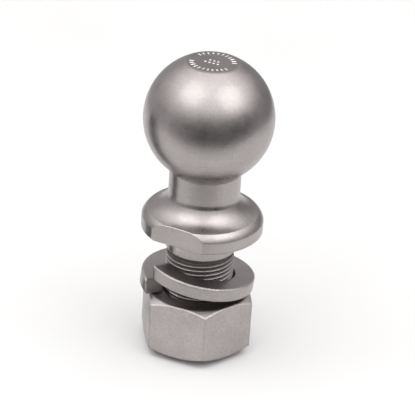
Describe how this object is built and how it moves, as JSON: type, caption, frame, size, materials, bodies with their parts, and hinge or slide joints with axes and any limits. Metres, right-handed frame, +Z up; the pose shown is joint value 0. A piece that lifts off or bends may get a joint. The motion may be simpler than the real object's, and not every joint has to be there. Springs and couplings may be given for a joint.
{
  "type": "threaded-shank hitch ball",
  "caption": "Trailer hitch ball forged in one piece with a flange and threaded shank, fitted with a split lock washer and a hex nut.",
  "frame": {"origin": "centre of the flange's underside, the seat that rests on a drawbar", "axes": "+Z up along the shank axis towards the ball; the two wrench flats face -Y and +Y"},
  "size_m": [0.0588, 0.0588, 0.1413],
  "materials": {
    "plated_forging": "satin zinc plate over a turned forging",
    "plated_spring_steel": "satin zinc plate over spring steel",
    "plated_nut_steel": "satin zinc plate"
  },
  "bodies": {
    "stud": {"ball_stud": "plated_forging"},
    "washer": {"lock_washer": "plated_spring_steel"},
    "nut": {"hex_nut": "plated_nut_steel"}
  },
  "joints": [
    {"name": "washer_slide", "type": "slide", "parent": "stud", "child": "washer", "axis": [0, 0, 1], "range_m": [-0.0276, 0.0137]},
    {"name": "nut_turn", "type": "hinge", "parent": "washer", "child": "nut", "pos_m": [0, 0, -0.0443], "axis": [0, 0, 1], "range_deg": [-4680, 2300]}
  ],
  "couplings": [
    {"joint": "washer_slide", "follows": "nut_turn", "m_per_rad": 0.00033688}
  ]
}
